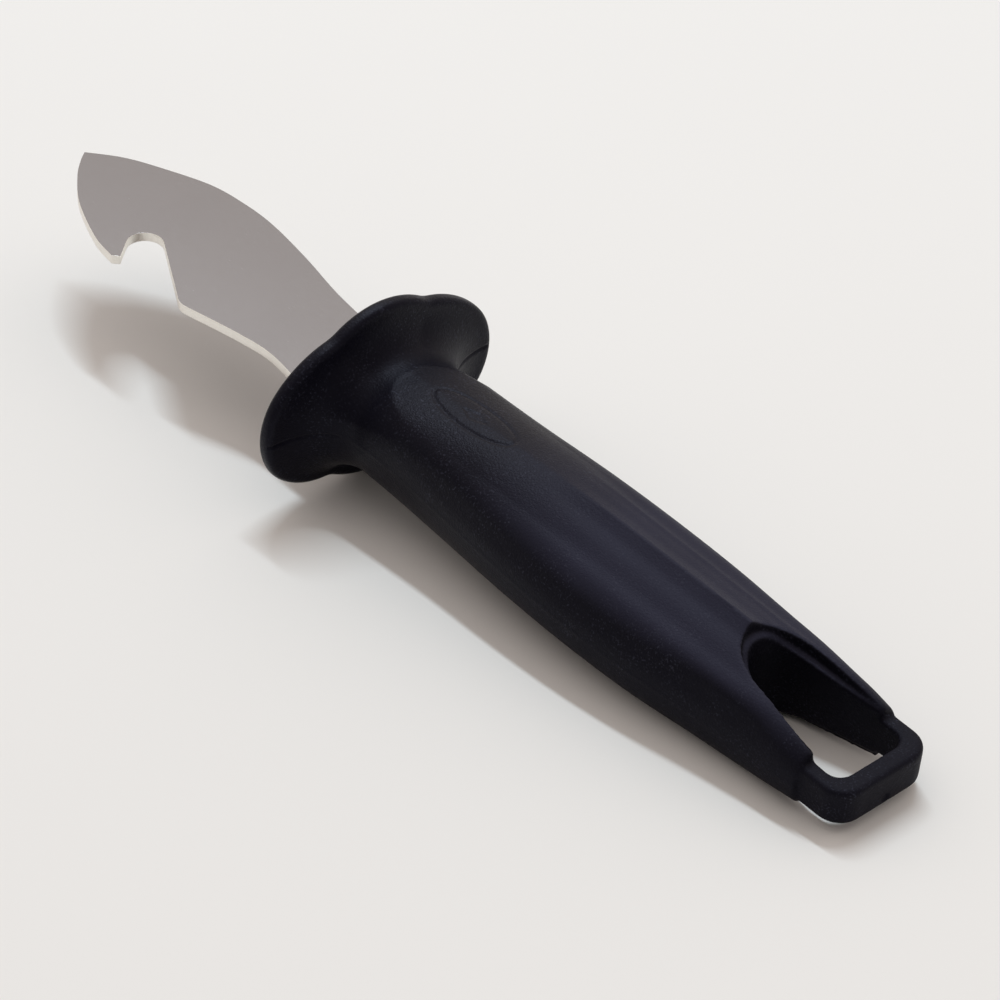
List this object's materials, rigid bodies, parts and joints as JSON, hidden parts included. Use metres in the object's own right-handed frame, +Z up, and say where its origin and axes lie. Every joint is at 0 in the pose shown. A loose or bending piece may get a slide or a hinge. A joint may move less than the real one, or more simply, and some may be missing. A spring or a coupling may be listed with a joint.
{
  "type": "hoof knife",
  "caption": "Fixed-blade farrier's knife: flat steel blade with a hook notch, moulded plastic handle with a petalled finger guard and a hang slot.",
  "frame": {"origin": "the point on the surface that the knife lies on, under the middle of the whole knife", "axes": "+X along the knife from the butt to the blade's tip, +Y towards the blade edge with the hook notch, +Z up; the knife lies on its guard and the rear of its handle, so its own axis rises about 5 degrees towards the tip"},
  "size_m": [0.202, 0.0484, 0.0335],
  "materials": {
    "blade_steel": "satin",
    "handle_plastic": "fine moulded texture"
  },
  "bodies": {
    "root": {"blade": "blade_steel", "handle": "handle_plastic"}
  },
  "joints": []
}
